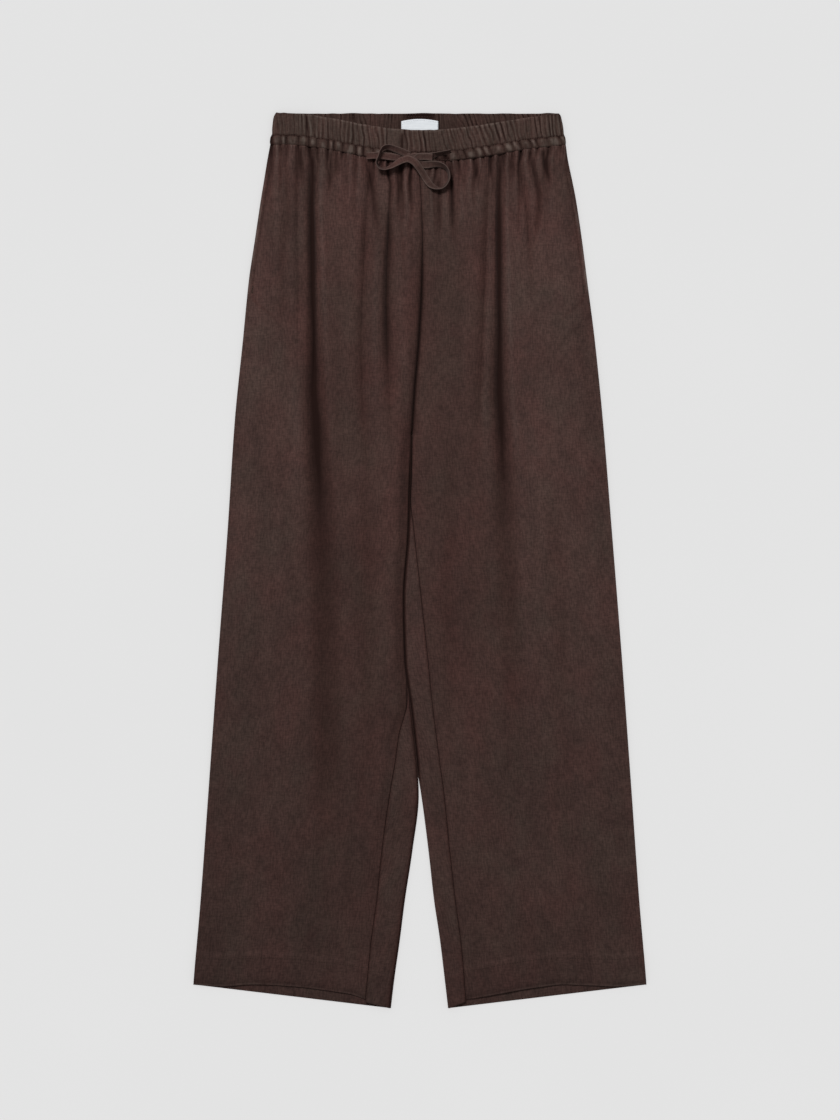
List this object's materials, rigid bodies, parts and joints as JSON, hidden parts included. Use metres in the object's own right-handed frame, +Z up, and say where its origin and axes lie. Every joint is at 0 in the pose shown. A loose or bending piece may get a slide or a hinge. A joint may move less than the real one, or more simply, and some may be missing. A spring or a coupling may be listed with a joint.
{
  "type": "linen drawstring trousers",
  "caption": "Wide straight-leg linen trousers laid flat, with a gathered elastic waistband, a drawstring tied in a bow, side seam pockets and a bare label.",
  "frame": {"origin": "on the surface the trousers lie on, under the middle of their outline", "axes": "+Y towards the waist, +X towards the wearer's left leg, +Z up from the surface, so the trousers' front faces +Z"},
  "size_m": [0.53, 1.0499, 0.0172],
  "materials": {
    "linen": "dark brown woven linen with fine slubs",
    "drawstring": "flat woven tape in the same brown",
    "label": "white satin label tape, bare"
  },
  "bodies": {
    "root": {"front_right": "linen", "front_left": "linen", "back_right": "linen", "back_left": "linen", "waistband_front": "linen", "waistband_back": "linen", "pocket_bag_right": "linen", "pocket_bag_left": "linen", "label": "label", "drawstring_loops": "drawstring", "drawstring_end_left": "drawstring", "drawstring_end_right": "drawstring", "drawstring_exit": "drawstring", "drawstring_knot": "drawstring"}
  },
  "joints": []
}
